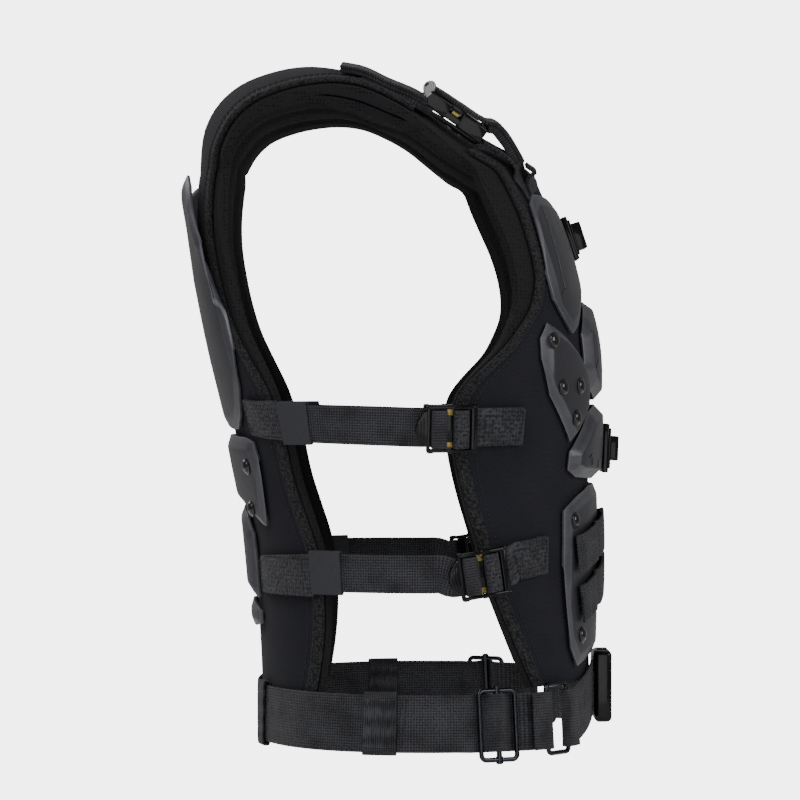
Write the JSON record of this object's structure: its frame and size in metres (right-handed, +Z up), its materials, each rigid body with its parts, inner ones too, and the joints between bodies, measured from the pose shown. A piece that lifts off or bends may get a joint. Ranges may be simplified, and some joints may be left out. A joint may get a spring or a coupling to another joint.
{
  "type": "tactical vest",
  "caption": "Padded torso vest with moulded armour plates front and back, side straps with ladder buckles, shoulder buckles and an adjustable waist belt.",
  "frame": {"origin": "midway between the two shoulder straps, at the height of their undersides at the crest of the shoulders", "axes": "+Z up, -Y out of the front of the vest, -X to the wearer's right side"},
  "size_m": [0.3568, 0.3038, 0.4671],
  "materials": {
    "pad_knit": "matte spacer knit",
    "panel_fabric": "matte brushed cloth",
    "binding_tape": "matte knitted tape",
    "armour_plate": "satin moulded",
    "webbing": "woven, ribbed",
    "buckle_plastic": "satin gloss moulded",
    "wire_steel": "glossy black plated wire"
  },
  "bodies": {
    "root": {"abdomen_plate": "armour_plate", "back_binding_left": "binding_tape", "back_binding_right": "binding_tape", "back_panel": "panel_fabric", "belt_buckle_plug": "buckle_plastic", "belt_buckle_socket": "buckle_plastic", "belt_keeper_left": "webbing", "belt_keeper_right": "webbing", "belt_loop_left": "webbing", "belt_loop_right": "webbing", "belt_ring_left": "wire_steel", "belt_ring_right": "wire_steel", "belt_slider_left": "wire_steel", "belt_slider_right": "wire_steel", "chest_clip_lower": "buckle_plastic", "chest_clip_upper": "buckle_plastic", "chest_plate": "armour_plate", "front_belt_left": "webbing", "front_belt_right": "webbing", "front_binding_left": "binding_tape", "front_binding_right": "binding_tape", "front_panel": "panel_fabric", "inner_pad": "pad_knit", "load_band_lower": "webbing", "load_band_upper": "webbing", "lower_back_plate": "armour_plate", "lower_chest_plate": "armour_plate", "mid_back_plate": "armour_plate", "rib_plate_left": "armour_plate", "rib_plate_right": "armour_plate", "shoulder_buckle_left": "buckle_plastic", "shoulder_buckle_right": "buckle_plastic", "shoulder_flap_left": "webbing", "shoulder_flap_right": "webbing", "shoulder_keeper_left": "webbing", "shoulder_keeper_right": "webbing", "shoulder_strap_left": "webbing", "shoulder_strap_right": "webbing", "shoulder_tail_left": "webbing", "shoulder_tail_right": "webbing", "side_buckle_lower_left": "buckle_plastic", "side_buckle_lower_right": "buckle_plastic", "side_buckle_upper_left": "buckle_plastic", "side_buckle_upper_right": "buckle_plastic", "side_keeper_lower_left": "webbing", "side_keeper_lower_right": "webbing", "side_keeper_upper_left": "webbing", "side_keeper_upper_right": "webbing", "side_strap_lower_left": "webbing", "side_strap_lower_right": "webbing", "side_strap_upper_left": "webbing", "side_strap_upper_right": "webbing", "side_tab_lower_left": "webbing", "side_tab_lower_right": "webbing", "side_tab_upper_left": "webbing", "side_tab_upper_right": "webbing", "sternum_plate": "armour_plate", "tail_plate": "armour_plate", "upper_back_plate": "armour_plate", "waist_belt": "webbing"}
  },
  "joints": []
}
